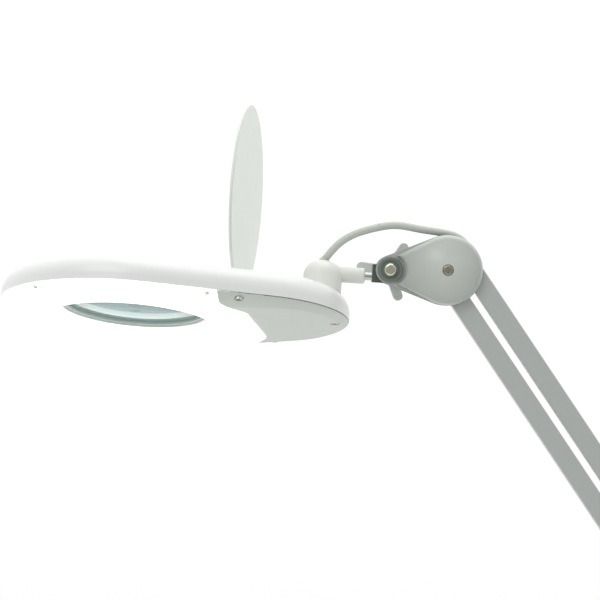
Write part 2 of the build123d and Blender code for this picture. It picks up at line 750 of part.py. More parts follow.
with BuildPart() as lens_cover:
    with BuildSketch(LID_FACE.offset(-1.0)):
        with Locations(LID_CENTRE):
            Circle(LID_R)
    extrude(amount=2.6)
    fillet(lens_cover.edges(), 0.9)
    with BuildSketch(LID_FACE.offset(-1.0)):
        with Locations(LID_CENTRE):
            Circle(LID_R - 3.5)
    extrude(amount=0.7, mode=Mode.SUBTRACT)
    # Tab and knuckle.
    with BuildSketch(LID_FACE.offset(-1.0)):
        with Locations((0, 3.5)):
            Rectangle(20.0, 7.0)
    extrude(amount=2.6)
    with BuildSketch(hinge_plane(10)):
        Circle(2.6)
    extrude(amount=20.0)
    with BuildSketch(hinge_plane(20)):
        Circle(1.5 + RUNNING)
    extrude(amount=40.0, mode=Mode.SUBTRACT)
    # Notches in the rim that clear the bracket's two lugs.
    for start in (14.4, -10.2):
        with BuildSketch(hinge_plane(start)):
            Circle(3.1)
        extrude(amount=4.2, mode=Mode.SUBTRACT)
save(lens_cover.part, "lens_cover")

with BuildPart() as cover_hinge_bracket:
    with BuildSketch(Plane(origin=hinge_foot - head_up * (LID_HINGE_Z - TOP_Z), x_dir=hinge_back, z_dir=head_up)):
        with Locations((1.5, 0)):
            Rectangle(13.0, 30.0)
    extrude(amount=0.7)
    for start in (14.0, -10.6):
        with BuildSketch(hinge_plane(start)):
            Circle(2.6)
            with Locations((0, (TOP_Z - LID_HINGE_Z) / 2)):
                Rectangle(5.2, LID_HINGE_Z - TOP_Z)
        extrude(amount=3.4)
    with BuildSketch(hinge_plane(20)):
        Circle(1.5)
    extrude(amount=40.0, mode=Mode.SUBTRACT)
save(cover_hinge_bracket.part, "cover_hinge_bracket")

with BuildPart() as cover_hinge_pin:
    with BuildSketch(hinge_plane(14.6)):
        Circle(1.5)
    extrude(amount=29.2)
save(cover_hinge_pin.part, "cover_hinge_pin")

# ---- switch on the top of the head ----
SWITCH_X = 128.0
with BuildPart() as switch_bezel:
    with BuildSketch(HEAD.offset(TOP_Z)):
        with Locations((SWITCH_X, 0)):
            RectangleRounded(22.0, 16.0, 2.0)
            Rectangle(16.4, 10.4, mode=Mode.SUBTRACT)
    extrude(amount=1.4)
    with BuildSketch(HEAD.offset(TOP_Z - 8.0)):
        with Locations((SWITCH_X, 0)):
            Rectangle(19.0, 13.0)
            Rectangle(16.4, 10.4, mode=Mode.SUBTRACT)
    extrude(amount=8.0)
    with BuildSketch(HEAD.offset(TOP_Z - 9.0)):
        with Locations((SWITCH_X, 0)):
            Rectangle(19.0, 13.0)
    extrude(amount=1.2)
save(switch_bezel.part, "switch_bezel")

with BuildPart() as rocker_switch:
    with BuildSketch(Plane(origin=lens_point - head_far * 4.9, x_dir=head_back, z_dir=-head_far)):
        with BuildLine():
            Polyline((SWITCH_X - 7.0, TOP_Z - 0.6), (SWITCH_X - 7.0, TOP_Z + 3.4), (SWITCH_X, TOP_Z + 1.8),
                     (SWITCH_X + 7.0, TOP_Z + 1.6), (SWITCH_X + 7.0, TOP_Z - 0.6), (SWITCH_X, TOP_Z - 5.0),
                     close=True)
        make_face()
    extrude(amount=-9.8)
    # Pivot.
    with BuildSketch(Plane(origin=lens_point - head_far * 5.1, x_dir=head_back, z_dir=-head_far)):
        with Locations((SWITCH_X, TOP_Z - 1.5)):
            Circle(1.6)
    extrude(amount=-10.2)
save(rocker_switch.part, "rocker_switch")

with BuildPart() as lead_grommet:
    with BuildSketch(exit_plane(-1.5)):
        Circle(4.4)
        Circle(LEAD_D / 2, mode=Mode.SUBTRACT)
    extrude(amount=4.2)
save(lead_grommet.part, "lead_grommet")


# =====================================================================
# Base bracket on the mounting pin
# =====================================================================

with BuildPart() as base_bracket:
    for face in (PLATE_OUT + 1.0, -PLATE_IN):
        with BuildSketch(side_plane(face)):
            with Locations(base_mid):
                Circle(22.0)
            with Locations((0, 64.0)):
                Rectangle(36.0, 6.0)
            make_hull()
            with Locations(base_main, base_rod):
                Circle(PIN_R, mode=Mode.SUBTRACT)
        extrude(amount=PLATE_OUT + 1.0 - PLATE_IN)
    with BuildSketch(Plane.XY.offset(56.0)):
        RectangleRounded(36.0, 2 * PLATE_OUT + 2.0, 3.0)
    extrude(amount=10.0)
    with BuildSketch(Plane.XY.offset(52.6)):
        Circle(15.0)
    extrude(amount=4.0)
    with BuildSketch(Plane.XY.offset(40.0)):
        Circle(6.0)
    extrude(amount=24.0, mode=Mode.SUBTRACT)
save(base_bracket.part, "base_bracket")

with BuildPart() as mounting_pin:
    with BuildSketch(Plane.XY.offset(9.0)):
        Circle(6.0)
    extrude(amount=54.0)
    chamfer(mounting_pin.edges(), 0.8)
save(mounting_pin.part, "mounting_pin")

with BuildPart() as base_pins:
    for point in (base_main, base_rod):
        with BuildSketch(side_plane(PLATE_OUT + 4.0)):
            with Locations(point):
                Circle(PIN_R)
        extrude(amount=2 * PLATE_OUT + 5.0)
        with BuildSketch(side_plane(-PLATE_OUT - 1.0)):
            with Locations(point):
                Circle(5.0)
        extrude(amount=3.0)
        with BuildSketch(side_plane(PLATE_OUT + 3.6)):
            with Locations(point):
                RegularPolygon(4.6, 6)
        extrude(amount=2.6)
    fillet(base_pins.faces().sort_by(Axis.Y)[0:2].edges(), 1.6)
save(base_pins.part, "base_pins")

# Gland for the mains lead, on the far side of the bracket, pointing down.
GLAND = (-8.0, 21.0)
with BuildPart() as base_gland:
    with BuildSketch(Plane.XY.offset(58.0)):
        with Locations(GLAND):
            RectangleRounded(16.0, 17.4, 2.5)
    extrude(amount=20.0)
    with BuildSketch(Plane.XY.offset(54.0)):
        with Locations(GLAND):
            Circle(6.0)
    extrude(amount=4.0)
    with BuildSketch(Plane.XY.offset(50.0)):
        with Locations(GLAND):
            Circle(LEAD_D / 2)
    extrude(amount=20.0, mode=Mode.SUBTRACT)
save(base_gland.part, "base_gland")


# =====================================================================
# Table clamp
# =====================================================================

JAW_W = 38.0
SCREW_X = -12.0
GRIP = 30.0
PAD = 2.0
with BuildPart() as clamp_frame:
    with BuildSketch(side_plane(JAW_W / 2)):
        with BuildLine():
            Polyline((-36, PAD), (18, PAD), (18, -78), (-30, -78), (-30, -91), (32, -91),
                     (32, 16), (-36, 16), close=True)
        make_face()
    extrude(amount=JAW_W)
    fillet(clamp_frame.edges().filter_by(Axis.Y).filter_by(lambda e: e.center().X > 10), 5.0)
    fillet(clamp_frame.edges().filter_by(Axis.Y).filter_by(lambda e: e.center().X < -20), 2.5)
    with BuildSketch(Plane.XY.offset(14.0)):
        Circle(16.0)
    extrude(amount=38.0)
    with BuildSketch(Plane.XY.offset(-94.0)):
        with Locations((SCREW_X, 0)):
            Circle(12.0)
    extrude(amount=17.0)
    with BuildSketch(Plane.XY.offset(6.0)):
        Circle(9.0)
    extrude(amount=60.0, mode=Mode.SUBTRACT)
    with BuildSketch(Plane.XY.offset(-100.0)):
        with Locations((SCREW_X, 0)):
            Circle(6.0 + RUNNING)
    extrude(amount=40.0, mode=Mode.SUBTRACT)
save(clamp_frame.part, "clamp_frame")

with BuildPart() as clamp_bush:
    with BuildSketch(Plane.XY.offset(6.0)):
        Circle(9.0)
    extrude(amount=46.0)
    with BuildSketch(Plane.XY.offset(52.0)):
        Circle(12.0)
    extrude(amount=0.5)
    with BuildSketch(Plane.XY.offset(8.6)):
        Circle(6.0 + RUNNING)
    extrude(amount=60.0, mode=Mode.SUBTRACT)
save(clamp_bush.part, "clamp_bush")

with BuildPart() as jaw_pad:
    with BuildSketch(Plane.XY):
        with Locations((-12, 0)):
            RectangleRounded(44.0, 34.0, 3.0)
    extrude(amount=PAD)
save(jaw_pad.part, "jaw_pad")

with BuildPart() as pressure_foot:
    with BuildSketch(Plane.XY.offset(-GRIP - 2.0)):
        with Locations((SCREW_X, 0)):
            Circle(16.0)
    extrude(amount=2.0)
    with BuildSketch(Plane.XY.offset(-GRIP - 8.0)):
        with Locations((SCREW_X, 0)):
            Circle(10.0)
    extrude(amount=6.0)
    fillet(pressure_foot.edges().group_by(Axis.Z)[0], 1.5)
    with BuildSketch(Plane.XY.offset(-GRIP - 10.0)):
        with Locations((SCREW_X, 0)):
            Circle(4.0 + RUNNING)
    extrude(amount=6.0, mode=Mode.SUBTRACT)
save(pressure_foot.part, "pressure_foot")

THREAD_PITCH = 3.0
with BuildPart() as clamp_screw:
    with BuildSketch(Plane.XY.offset(-138.0)):
        with Locations((SCREW_X, 0)):
            Circle(6.0)
    extrude(amount=138.0 - GRIP - 8.4)
    with BuildSketch(Plane.XY.offset(-GRIP - 8.5)):
        with Locations((SCREW_X, 0)):
            Circle(4.0)
    extrude(amount=3.6)
    with BuildSketch(Plane.XY.offset(-146.0)):
        with Locations((SCREW_X, 0)):
            Circle(9.0)
    extrude(amount=14.0)
    fillet(clamp_screw.edges().group_by(Axis.Z)[0], 2.0)
    with BuildSketch(side_plane(20.0)):
        with Locations((SCREW_X, -139.0)):
            Circle(3.0)
    extrude(amount=40.0, mode=Mode.SUBTRACT)
save(clamp_screw.part, "clamp_screw")

with BuildPart() as tommy_bar:
    with BuildSketch(side_plane(36.0)):
        with Locations((SCREW_X, -139.0)):
            Circle(3.0)
    extrude(amount=72.0)
    for start in (39.0, -33.0):
        with BuildSketch(side_plane(start)):
            with Locations((SCREW_X, -139.0)):
                Circle(5.0)
        extrude(amount=6.0)
    fillet(tommy_bar.edges().group_by(Axis.Y)[0] + tommy_bar.edges().group_by(Axis.Y)[-1], 2.0)
save(tommy_bar.part, "tommy_bar")


# =====================================================================
# Leads
# =====================================================================

def corner_radii(points):
    """Tangent arcs at the corners of a route: 0.45 of the shorter run over tan(half turn)."""
    radii = []
    for a, b, c in zip(points, points[1:], points[2:]):
        one = Vector(*b) - Vector(*a)
        two = Vector(*c) - Vector(*b)
        turn = radians(one.get_angle(two))
        radii.append(0.45 * min(one.length, two.length) / tan(turn / 2))
    return radii


def lead_along(points, diameter, name):
    """Round lead of straight runs joined by tangent arcs."""
    radii = corner_radii(points)
    with BuildPart() as lead:
        with BuildLine() as route:
            FilletPolyline(*points, radius=radii)
        path = route.wires()[0]
        with BuildSketch(Plane(origin=path @ 0, z_dir=path % 0)):
            Circle(diameter / 2)
        sweep(path=path)
    expected = path.length * pi * diameter ** 2 / 4
    print(name, "length", round(path.length, 1), "volume ratio", round(lead.part.volume / expected, 4),
          "radii", [round(r, 1) for r in radii])
    save(lead.part, name)


def beside_centre(x, z, y=0.0):
    """Point given from the screw in the middle of the arm end."""
    return (arm_end[0] + x, y, arm_end[1] + z)


# From the dome, over the tilt joint, down between the side covers to the rod tube.
head_route = [tuple(exit_point - exit_dir * 3), tuple(exit_aim), beside_centre(-70.0, 35.0),
              beside_centre(-47.0, 39.3), beside_centre(-25.0, 37.2), beside_centre(-6.0, 34.6),
              beside_centre(10.0, 29.6), beside_centre(22.2, 19.6)]
lead_along(head_route, LEAD_D, "head_lead")

# Inside the elbow covers, from the upper rod tube to the lower one.
elbow_route = [(high_rod[0] + 8.5, 0, high_rod[1] - 8.0), (high_rod[0] + 13.5, 0, high_rod[1] - 17.5),
               (high_rod[0] + 14.5, 0, high_rod[1] - 28.5), (high_rod[0] + 11.4, 0, high_rod[1] - 39.0)]
lead_along(elbow_route, INNER_LEAD_D, "elbow_lead")

# Mains lead: down from the gland, onto the table, to the coil.
r = LEAD_D / 2
mains_route = [(GLAND[0], GLAND[1], 53.7), (GLAND[0], GLAND[1] + 3, 40.0), (GLAND[0] - 8, GLAND[1] + 14, 20.0),
               (GLAND[0] - 26, GLAND[1] + 34, r + 1.5), (GLAND[0] - 52, GLAND[1] + 58, r),
               (GLAND[0] - 88, GLAND[1] + 68, r), (GLAND[0] - 121, GLAND[1] + 62, r)]
lead_along(mains_route, LEAD_D, "mains_lead")

COIL_MEAN_R = 36.0
COIL_AT = (GLAND[0] - 145.0, GLAND[1] + 62.0 - COIL_MEAN_R - LEAD_D)
with BuildPart() as mains_coil:
    with BuildSketch(Plane.XZ.offset(-COIL_AT[1])):
        with Locations((COIL_AT[0] + COIL_MEAN_R, LEAD_D)):
            RectangleRounded(3 * LEAD_D, 2 * LEAD_D, 3.0)
    revolve(axis=Axis((COIL_AT[0], COIL_AT[1], 0), (0, 0, 1)))
save(mains_coil.part, "mains_coil")

tail_x = COIL_AT[0] - COIL_MEAN_R - LEAD_D
tail_route = [(tail_x, COIL_AT[1] - 25.6, 3 * r), (tail_x - 1, COIL_AT[1] - 44, 3 * r + 0.2),
              (tail_x - 1.5, COIL_AT[1] - 62, 11.0)]
lead_along(tail_route, LEAD_D, "mains_tail")

PLUG_AT = (tail_x - 1.5, COIL_AT[1] - 78.4)
with BuildPart() as mains_plug:
    with BuildSketch(Plane.XZ.offset(-PLUG_AT[1])):
        with Locations((PLUG_AT[0], 11.0)):
            RectangleRounded(34.0, 22.0, 8.0)
    extrude(amount=24.0)
    with BuildSketch(Plane.XZ.offset(-PLUG_AT[1])):
        with Locations((PLUG_AT[0], 11.0)):
            Circle(7.0)
    extrude(amount=-16.0)
    with BuildSketch(Plane.XZ.offset(-PLUG_AT[1] + 24.0)):
        with Locations((PLUG_AT[0] - 9.5, 11.0), (PLUG_AT[0] + 9.5, 11.0)):
            Circle(2.4)
    extrude(amount=19.0)
save(mains_plug.part, "mains_plug")
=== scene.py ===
import math
import bpy
import bmesh
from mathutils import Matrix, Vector


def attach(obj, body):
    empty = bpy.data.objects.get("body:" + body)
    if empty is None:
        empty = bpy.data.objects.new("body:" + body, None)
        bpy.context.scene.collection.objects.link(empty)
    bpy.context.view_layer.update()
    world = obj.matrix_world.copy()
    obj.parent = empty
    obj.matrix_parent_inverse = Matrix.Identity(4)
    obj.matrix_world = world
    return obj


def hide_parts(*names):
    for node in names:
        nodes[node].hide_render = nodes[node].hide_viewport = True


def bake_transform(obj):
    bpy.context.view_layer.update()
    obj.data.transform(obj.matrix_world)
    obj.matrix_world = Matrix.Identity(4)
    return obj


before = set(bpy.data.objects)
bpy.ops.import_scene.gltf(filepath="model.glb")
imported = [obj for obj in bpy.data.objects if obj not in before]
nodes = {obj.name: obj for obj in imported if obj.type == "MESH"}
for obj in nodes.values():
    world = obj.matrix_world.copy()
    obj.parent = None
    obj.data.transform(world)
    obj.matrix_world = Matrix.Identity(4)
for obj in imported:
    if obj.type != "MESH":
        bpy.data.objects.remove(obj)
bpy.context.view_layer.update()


# ---------------------------------------------------------------- camera
cam_data = bpy.data.cameras.new("camera")
cam_data.sensor_width = 36.0
cam_data.lens = 113.2
cam_data.clip_start = 0.05
cam_data.clip_end = 50.0
camera = bpy.data.objects.new("camera", cam_data)
camera.location = (-0.1857, -1.640, 0.80405)
camera.rotation_euler = (math.radians(90), 0, 0)
bpy.context.scene.collection.objects.link(camera)
bpy.context.scene.camera = camera
bpy.context.scene.view_settings.view_transform = "Standard"


# ---------------------------------------------------------------- mesh helpers
def add_mesh(name, verts, faces, smooth=True):
    """A new object from vertices and faces, with its faces turned outwards."""
    mesh = bpy.data.meshes.new(name)
    mesh.from_pydata([tuple(v) for v in verts], [], faces)
    mesh.validate()
    bm = bmesh.new()
    bm.from_mesh(mesh)
    bmesh.ops.recalc_face_normals(bm, faces=bm.faces)
    bm.to_mesh(mesh)
    bm.free()
    for face in mesh.polygons:
        face.use_smooth = smooth
    obj = bpy.data.objects.new(name, mesh)
    bpy.context.scene.collection.objects.link(obj)
    return obj


def along_spline(route, steps=8):
    """Points in order along the smooth line whose control points are the route, given in metres."""
    data = bpy.data.curves.new("route", "CURVE")
    data.dimensions = "3D"
    spline = data.splines.new("NURBS")
    spline.points.add(len(route) - 1)
    for point, xyz in zip(spline.points, route):
        point.co = (*xyz, 1.0)
    spline.order_u = 3
    spline.use_endpoint_u = True
    spline.resolution_u = steps
    data.resolution_u = steps
    holder = bpy.data.objects.new("route", data)
    bpy.context.scene.collection.objects.link(holder)
    bpy.context.view_layer.update()
    line = bpy.data.meshes.new_from_object(holder)
    points = [v.co.copy() for v in line.vertices]
    bpy.data.objects.remove(holder)
    bpy.data.meshes.remove(line)
    bpy.data.curves.remove(data)
    kept = [points[0]]
    for p in points[1:]:
        if (p - kept[-1]).length > 1e-5:
            kept.append(p)
    return kept


def run_length(points):
    """Distance along the points, in metres."""
    return sum((b - a).length for a, b in zip(points, points[1:]))


def sweep(name, points, radius, sides=20):
    """A round tube along the points. radius is a number or a function of the distance run, in metres."""
    size = radius if callable(radius) else (lambda s: radius)
    tangents = []
    for i in range(len(points)):
        a, b = points[max(i - 1, 0)], points[min(i + 1, len(points) - 1)]
        tangents.append((b - a).normalized())
    side = tangents[0].orthogonal().normalized()
    verts, faces, run = [], [], 0.0
    for i, (p, t) in enumerate(zip(points, tangents)):
        if i:
            run += (p - points[i - 1]).length
        side = (side - t * side.dot(t)).normalized()
        other = t.cross(side)
        r = size(run)
        for k in range(sides):
            a = 2 * math.pi * k / sides
            verts.append(p + side * (r * math.cos(a)) + other * (r * math.sin(a)))
    for i in range(len(points) - 1):
        for k in range(sides):
            a, b = i * sides + k, i * sides + (k + 1) % sides
            faces.append((a, b, b + sides, a + sides))
    faces.append(tuple(range(sides))[::-1])
    last = (len(points) - 1) * sides
    faces.append(tuple(range(last, last + sides)))
    return add_mesh(name, verts, faces)


def loft(name, centre, direction, up, stations, sides=40):
    """A closed body through rounded-rectangle stations: (distance, half width, half height, squareness)."""
    direction, up = Vector(direction).normalized(), Vector(up).normalized()
    across = direction.cross(up)
    verts, faces = [], []
    for d, w, h, power in stations:
        for k in range(sides):
            a = 2 * math.pi * k / sides
            c, s = math.cos(a), math.sin(a)
            x = math.copysign(abs(c) ** (2 / power), c) * w
            y = math.copysign(abs(s) ** (2 / power), s) * h
            verts.append(Vector(centre) + direction * d + across * x + up * y)
    for i in range(len(stations) - 1):
        for k in range(sides):
            a, b = i * sides + k, i * sides + (k + 1) % sides
            faces.append((a, b, b + sides, a + sides))
    faces.append(tuple(range(sides))[::-1])
    last = (len(stations) - 1) * sides
    faces.append(tuple(range(last, last + sides)))
    return add_mesh(name, verts, faces)


# ---------------------------------------------------------------- cords
LEAD_R = 0.00325
SCREW = Vector((-0.058298, 0.0, 0.829698))  # the screw in the arm end's covers
LOOP_SPLIT_X = -0.1165  # where the lead over the head's joint passes from one body to the next

# Lead from the swivel dome over the tilt joint into the arm's end: two lengths that meet above the joint.
loop_route = [(-0.16709, 0.00282, 0.83531)]
for dx, dz in ((-98, 20.6), (-82, 31.5), (-62, 37.2), (-44, 40.2), (-22, 35.6),
               (-6, 33.4), (8, 30.4), (16, 24.0), (22.2, 17.6)):
    loop_route.append((SCREW.x + dx / 1000, 0.0, SCREW.z + dz / 1000))
loop = along_spline(loop_route, 12)
meet = min(range(len(loop)), key=lambda i: abs(loop[i].x - LOOP_SPLIT_X))
lead_to_head = sweep("head_lead_outer", loop[: meet + 1], LEAD_R + 0.0001)
lead_to_arm = sweep("head_lead_inner", loop[meet:], LEAD_R + 0.0001)

# Mains lead: drop from the gland, a neat coil on the table, and a short tail to the plug.
COIL = Vector((-0.153, 0.0405, 0.0))
COIL_TURNS = 5.25
COIL_OUTER_R = 42.4  # this and the next three in millimetres
COIL_INNER_R = 29.6
COIL_STEP = 6.4
COIL_LAYERS = (3.3, 6.5)
TURN_POINTS = 12
SWELL = 1.035  # the line runs inside its control points, so these stand a little further out


def coil_point(s):
    """Point of the coil's line after s turns: three turns inwards below, then outwards on top of them."""
    def ease(x):
        """Smooth step from 0 to 1."""
        x = min(max(x, 0.0), 1.0)
        return x * x * (3 - 2 * x)

    k, f = int(s), s - int(s)
    step = ease((f - 0.75) / 0.25)
    if k < 2:
        radius = COIL_OUTER_R - COIL_STEP * (k + step)
    elif k < 3:
        radius = COIL_INNER_R
    else:
        radius = COIL_INNER_R + COIL_STEP * (k - 3 + step)
    low, rise = COIL_LAYERS
    z = low + rise * ease((s - 2.55) / 0.4)
    a = math.radians(90 + 360 * s)
    radius *= SWELL / 1000
    return (COIL.x + radius * math.cos(a), COIL.y + radius * math.sin(a), z / 1000)


mains_route = [(-0.008, 0.021, 0.0537), (-0.008, 0.024, 0.040), (-0.016, 0.035, 0.020), (-0.034, 0.055, 0.00475),
               (-0.060, 0.079, 0.00328), (-0.096, 0.089, 0.00328), (-0.129, 0.086, 0.00328)]
mains_route += [coil_point(i / TURN_POINTS) for i in range(int(COIL_TURNS * TURN_POINTS) + 1)]
mains_route += [(-0.1955, 0.0149, 0.00975), (-0.1965, -0.0035, 0.00995), (-0.197, -0.0215, 0.011)]
mains_line = along_spline(mains_route, 6)
print("mains length", round(run_length(mains_line), 4))
mains = sweep("mains_cord", mains_line, LEAD_R, 16)


# Ribbed, tapered reliefs where the lead leaves the base and where it enters the plug.
GROOVE_DEPTH = 0.0005
RIB_SHARE = 0.62  # share of each pitch that stands proud


def relief(length, thick, thin, pitch):
    """Radius along a relief that tapers from thick to thin, with a groove in each pitch after the first."""
    def radius(s):
        r = thick + (thin - thick) * s / length
        in_groove = (s % pitch) > pitch * RIB_SHARE and s > pitch
        return r - (GROOVE_DEPTH if in_groove else 0.0)
    return radius


def part_of(points, start, length, step=0.0005):
    """The stretch of the line from start over length, in even small steps."""
    out, run, want = [], 0.0, start
    for a, b in zip(points, points[1:]):
        d = (b - a).length
        while run + d >= want and want <= start + length:
            out.append(a.lerp(b, (want - run) / d))
            want += step
        run += d
    return out


BASE_RELIEF = 0.024
PLUG_RELIEF = 0.026
base_relief = sweep("gland_relief", part_of(mains_line, 0.0, BASE_RELIEF),
                    relief(BASE_RELIEF, 0.0054, 0.0039, 0.0030), 24)
PLUG = Vector((-0.197, -0.0379, 0.011))
back_line = list(reversed(mains_line))
entry = [PLUG + Vector((0, 0.001 + 0.0005 * i, 0)) for i in range(31)]
plug_relief = sweep("plug_relief", part_of(entry + back_line, 0.0, PLUG_RELIEF),
                    relief(PLUG_RELIEF, 0.0068, 0.0042, 0.0034), 24)

# Plug: a body that steps in for a groove round its waist, and two round pins.
plug_stations = [(-0.0030, 0.0066, 0.0066, 2.0), (0.0, 0.0068, 0.0068, 2.0), (0.0012, 0.0100, 0.0084, 2.4),
                 (0.0030, 0.0128, 0.0096, 2.8), (0.0065, 0.0142, 0.0102, 3.2), (0.0110, 0.0150, 0.0105, 3.6),
                 (0.0150, 0.0158, 0.0107, 4.0), (0.0158, 0.0160, 0.0108, 4.0), (0.0162, 0.0156, 0.0104, 4.0),
                 (0.0170, 0.0156, 0.0104, 4.0), (0.0174, 0.0162, 0.0108, 4.0), (0.0226, 0.0166, 0.0109, 4.4),
                 (0.0236, 0.0163, 0.0106, 4.4), (0.0240, 0.0156, 0.0099, 4.4)]
plug_body = loft("plug_body", PLUG, (0, -1, 0), (0, 0, 1), plug_stations)
PIN_SIDES = 24
PIN_HALF_SPACING = 0.0095
PIN_ROWS = [(0.0235, 0.0024), (0.0330, 0.0024), (0.0332, 0.0021), (0.0335, 0.0024), (0.0415, 0.0024),
            (0.0424, 0.0021), (0.0429, 0.0014)]  # distance from the plug's origin, radius
pin_verts, pin_faces = [], []
for side in (-PIN_HALF_SPACING, PIN_HALF_SPACING):
    first = len(pin_verts)
    for d, r in PIN_ROWS:
        for k in range(PIN_SIDES):
            a = 2 * math.pi * k / PIN_SIDES
            pin_verts.append(PLUG + Vector((side + r * math.cos(a), -d, r * math.sin(a))))
    for i in range(len(PIN_ROWS) - 1):
        for k in range(PIN_SIDES):
            a, b = first + i * PIN_SIDES + k, first + i * PIN_SIDES + (k + 1) % PIN_SIDES
            pin_faces.append((a, b, b + PIN_SIDES, a + PIN_SIDES))
    pin_faces.append(tuple(range(first, first + PIN_SIDES)))
    pin_faces.append(tuple(range(len(pin_verts) - PIN_SIDES, len(pin_verts))))
plug_pins = add_mesh("plug_pins", pin_verts, pin_faces)


# ---------------------------------------------------------------- materials
def lin(r, g, b):
    """Linear colour from one given as 0-255 display values."""
    return tuple((c / 255 / 12.92) if c <= 10 else ((c / 255 + 0.055) / 1.055) ** 2.4 for c in (r, g, b)) + (1.0,)


DOME_FALL = -14.0  # height of the crown's normal bump, per square metre of distance
COAT_ROUGHNESS = 0.12
GRAIN_DEPTH = 0.0002


def material(name, colour, rough=0.4, metal=0.0, coat=0.0, mottle=0.03, mottle_size=0.03, grain=0.0, grain_size=0.001,
             rough_vary=0.08, stretch=(1, 1, 1), emission=None, glow=0.0, transmission=0.0, ior=1.5, sheen=0.0,
             dome=None):
    """Painted, moulded or plated surface: cloudy tint, uneven roughness and, where grain is set, a fine skin."""
    m = bpy.data.materials.new(name)
    m.use_nodes = True
    tree = m.node_tree
    link = tree.links.new
    shader = tree.nodes["Principled BSDF"]
    coords = tree.nodes.new("ShaderNodeTexCoord")
    mapping = tree.nodes.new("ShaderNodeMapping")
    mapping.inputs["Scale"].default_value = stretch
    link(coords.outputs["Object"], mapping.inputs["Vector"])

    def noise(size, detail=3.0):
        n = tree.nodes.new("ShaderNodeTexNoise")
        n.inputs["Scale"].default_value = 1.0 / size
        n.inputs["Detail"].default_value = detail
        link(mapping.outputs["Vector"], n.inputs["Vector"])
        return n

    cloud = noise(mottle_size)
    mix = tree.nodes.new("ShaderNodeMix")
    mix.data_type = "RGBA"
    link(cloud.outputs["Fac"], mix.inputs[0])
    mix.inputs[6].default_value = tuple(c * (1 - mottle) for c in colour[:3]) + (1.0,)
    mix.inputs[7].default_value = tuple(min(c * (1 + mottle), 1.0) for c in colour[:3]) + (1.0,)
    link(mix.outputs[2], shader.inputs["Base Color"])
    wear = noise(mottle_size * 0.6, 5.0)
    span = tree.nodes.new("ShaderNodeMapRange")
    span.inputs["To Min"].default_value = max(rough - rough_vary, 0.02)
    span.inputs["To Max"].default_value = min(rough + rough_vary, 1.0)
    link(wear.outputs["Fac"], span.inputs["Value"])
    link(span.outputs["Result"], shader.inputs["Roughness"])
    if grain:
        skin = noise(grain_size, 2.0)
        bump = tree.nodes.new("ShaderNodeBump")
        bump.inputs["Strength"].default_value = grain
        bump.inputs["Distance"].default_value = GRAIN_DEPTH
        link(skin.outputs["Fac"], bump.inputs["Height"])
        link(bump.outputs["Normal"], shader.inputs["Normal"])
    if dome:
        # Slight crown over the face: the height falls off with the square of the distance from dome's point.
        away = tree.nodes.new("ShaderNodeVectorMath")
        away.operation = "SUBTRACT"
        away.inputs[1].default_value = dome
        flat = tree.nodes.new("ShaderNodeVectorMath")
        flat.operation = "MULTIPLY"
        flat.inputs[1].default_value = (1.0, 0.0, 1.0)
        square = tree.nodes.new("ShaderNodeVectorMath")
        square.operation = "DOT_PRODUCT"
        height = tree.nodes.new("ShaderNodeMath")
        height.operation = "MULTIPLY"
        height.inputs[1].default_value = DOME_FALL
        crown = tree.nodes.new("ShaderNodeBump")
        crown.inputs["Strength"].default_value = 1.0
        crown.inputs["Distance"].default_value = 1.0
        link(coords.outputs["Object"], away.inputs[0])
        link(away.outputs["Vector"], flat.inputs[0])
        link(flat.outputs["Vector"], square.inputs[0])
        link(flat.outputs["Vector"], square.inputs[1])
        link(square.outputs["Value"], height.inputs[0])
        link(height.outputs["Value"], crown.inputs["Height"])
        if grain:
            link(crown.outputs["Normal"], bump.inputs["Normal"])
        else:
            link(crown.outputs["Normal"], shader.inputs["Normal"])
    shader.inputs["Metallic"].default_value = metal
    shader.inputs["Coat Weight"].default_value = coat
    shader.inputs["Coat Roughness"].default_value = COAT_ROUGHNESS
    shader.inputs["IOR"].default_value = ior
    shader.inputs["Transmission Weight"].default_value = transmission
    shader.inputs["Sheen Weight"].default_value = sheen
    if emission:
        shader.inputs["Emission Color"].default_value = emission
        shader.inputs["Emission Strength"].default_value = glow
    return m


shell = material("shell_white", lin(222, 225, 222), rough=0.34, coat=0.25, grain=0.10, grain_size=0.0012, mottle=0.012)
cover = material("cover_grey_white", lin(198, 204, 199), rough=0.42, grain=0.16, grain_size=0.0009, mottle=0.015)
lid_plastic = material("lid_grey_white", lin(221, 226, 220), rough=0.40, grain=0.14, grain_size=0.0009, mottle=0.012)
enamel = material("arm_enamel", lin(178, 183, 179), rough=0.36, coat=0.2, grain=0.14, grain_size=0.0011, mottle=0.02)
end_cover = material("end_cover_enamel", lin(195, 201, 195), rough=0.34, coat=0.3, grain=0.12, grain_size=0.001,
                     mottle=0.02, dome=tuple(SCREW))
elbow_enamel = material("elbow_cover_enamel", lin(190, 196, 190), rough=0.38, coat=0.2, grain=0.12, grain_size=0.001,
                        mottle=0.02)
opal = material("opal_diffuser", lin(246, 248, 246), rough=0.45, grain=0.08, grain_size=0.0015, mottle=0.01,
                emission=(1.0, 0.99, 0.975, 1.0), glow=0.85)
glass = material("lens_glass", lin(134, 170, 167), rough=0.03, rough_vary=0.01, transmission=0.9, ior=1.52,
                 mottle=0.004)
lens_seat = material("lens_seat", lin(206, 219, 215), rough=0.35, grain=0.1, mottle=0.02)
tube_glass = material("tube_glass", lin(250, 250, 246), rough=0.3, emission=(1.0, 0.99, 0.97, 1.0), glow=1.0,
                      mottle=0.01)
pan_paint = material("pan_white", lin(240, 242, 240), rough=0.4, grain=0.1, mottle=0.01)
zinc = material("zinc_plate", lin(176, 178, 172), rough=0.34, metal=1.0, grain=0.15, grain_size=0.0006, mottle=0.08,
                mottle_size=0.006)
